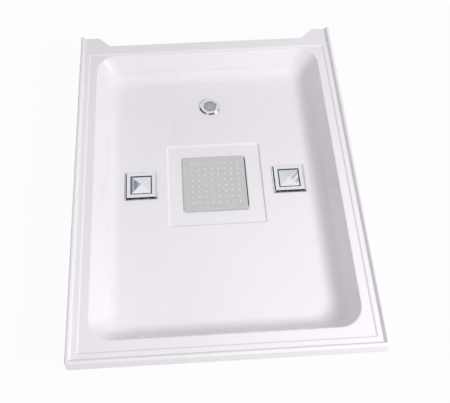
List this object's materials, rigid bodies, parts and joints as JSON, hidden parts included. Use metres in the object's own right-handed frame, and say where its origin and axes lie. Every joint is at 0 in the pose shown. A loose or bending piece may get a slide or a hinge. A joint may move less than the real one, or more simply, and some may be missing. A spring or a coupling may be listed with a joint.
{
  "type": "shower cabin ceiling panel",
  "caption": "Formed white ceiling panel of a steam shower cabin, inner side up: deep dome, stepped rim cut back at the rear, square rain head, square crystal lamps and a small round lamp.",
  "frame": {"origin": "centre of the seat ledge: midway between the sides, midway between the front edge and the rear ends of the ears, in the plane of the ledge that rests on the cabin walls", "axes": "+X to the right in the picture, +Y from the front edge to the cut-back rear edge, +Z out of the dome; the panel is stored inner side up as pictured, and in use +Z points down"},
  "size_m": [0.856, 1.154, 0.1569],
  "materials": {
    "white_sheet": "smooth glossy formed sheet",
    "brushed_steel": "fine brushed face with a polished bevel",
    "chrome": "polished chrome",
    "zinc_steel": "bright zinc",
    "brass": "turned brass",
    "cast_aluminium": "satin pressed",
    "reflector": "bright metallised",
    "silicone": "soft pale silicone",
    "black_rubber": "matt rubber",
    "grey_foam": "closed-cell foam",
    "crystal": "clear cut glass",
    "lens": "frosted grey-green",
    "board": "white solder mask",
    "nylon": "moulded black",
    "white_plastic": "moulded white"
  },
  "bodies": {
    "panel": {"ceiling_shell": "white_sheet", "head_back": "chrome", "head_face": "brushed_steel", "head_gasket": "grey_foam", "head_nozzle_mat": "silicone", "head_seal": "black_rubber", "hose_elbow": "brass", "hose_union_nut": "brass", "hose_washer": "black_rubber", "inlet_lock_nut": "brass", "inlet_rubber_washer": "black_rubber", "inlet_steel_washer": "zinc_steel", "left_lamp_bezel": "chrome", "left_lamp_bracket_front": "zinc_steel", "left_lamp_bracket_rear": "zinc_steel", "left_lamp_can": "cast_aluminium", "left_lamp_crystal": "crystal", "left_lamp_gland": "nylon", "left_lamp_led_board": "board", "left_lamp_lens_gasket": "silicone", "left_lamp_panel_gasket": "grey_foam", "left_lamp_pin_front": "zinc_steel", "left_lamp_pin_rear": "zinc_steel", "left_lamp_reflector": "reflector", "left_lamp_screw_1": "zinc_steel", "left_lamp_screw_2": "zinc_steel", "left_lamp_screw_3": "zinc_steel", "left_lamp_screw_4": "zinc_steel", "right_lamp_bezel": "chrome", "right_lamp_bracket_front": "zinc_steel", "right_lamp_bracket_rear": "zinc_steel", "right_lamp_can": "cast_aluminium", "right_lamp_crystal": "crystal", "right_lamp_gland": "nylon", "right_lamp_led_board": "board", "right_lamp_lens_gasket": "silicone", "right_lamp_panel_gasket": "grey_foam", "right_lamp_pin_front": "zinc_steel", "right_lamp_pin_rear": "zinc_steel", "right_lamp_reflector": "reflector", "right_lamp_screw_1": "zinc_steel", "right_lamp_screw_2": "zinc_steel", "right_lamp_screw_3": "zinc_steel", "right_lamp_screw_4": "zinc_steel", "round_lamp_back_washer": "black_rubber", "round_lamp_body": "white_plastic", "round_lamp_gland": "nylon", "round_lamp_led_board": "board", "round_lamp_lens": "lens", "round_lamp_lens_gasket": "silicone", "round_lamp_nut": "white_plastic", "round_lamp_panel_gasket": "grey_foam", "round_lamp_ring": "chrome"},
    "left_front_clip": {"left_lamp_clip_front": "zinc_steel"},
    "left_rear_clip": {"left_lamp_clip_rear": "zinc_steel"},
    "right_front_clip": {"right_lamp_clip_front": "zinc_steel"},
    "right_rear_clip": {"right_lamp_clip_rear": "zinc_steel"}
  },
  "joints": [
    {"name": "left_front_clip_hinge", "type": "hinge", "parent": "panel", "child": "left_front_clip", "pos_m": [-0.23203, -0.0169, -0.0955], "axis": [1, 0, 0], "range_deg": [0, 100], "stiffness_Nm_per_rad": 0.05, "springref_deg": -40.11},
    {"name": "left_rear_clip_hinge", "type": "hinge", "parent": "panel", "child": "left_rear_clip", "pos_m": [-0.23203, 0.0529, -0.0955], "axis": [-1, 0, 0], "range_deg": [0, 100], "stiffness_Nm_per_rad": 0.05, "springref_deg": -40.11},
    {"name": "right_front_clip_hinge", "type": "hinge", "parent": "panel", "child": "right_front_clip", "pos_m": [0.23203, -0.0169, -0.0955], "axis": [1, 0, 0], "range_deg": [0, 100], "stiffness_Nm_per_rad": 0.05, "springref_deg": -40.11},
    {"name": "right_rear_clip_hinge", "type": "hinge", "parent": "panel", "child": "right_rear_clip", "pos_m": [0.23203, 0.0529, -0.0955], "axis": [-1, 0, 0], "range_deg": [0, 100], "stiffness_Nm_per_rad": 0.05, "springref_deg": -40.11}
  ]
}
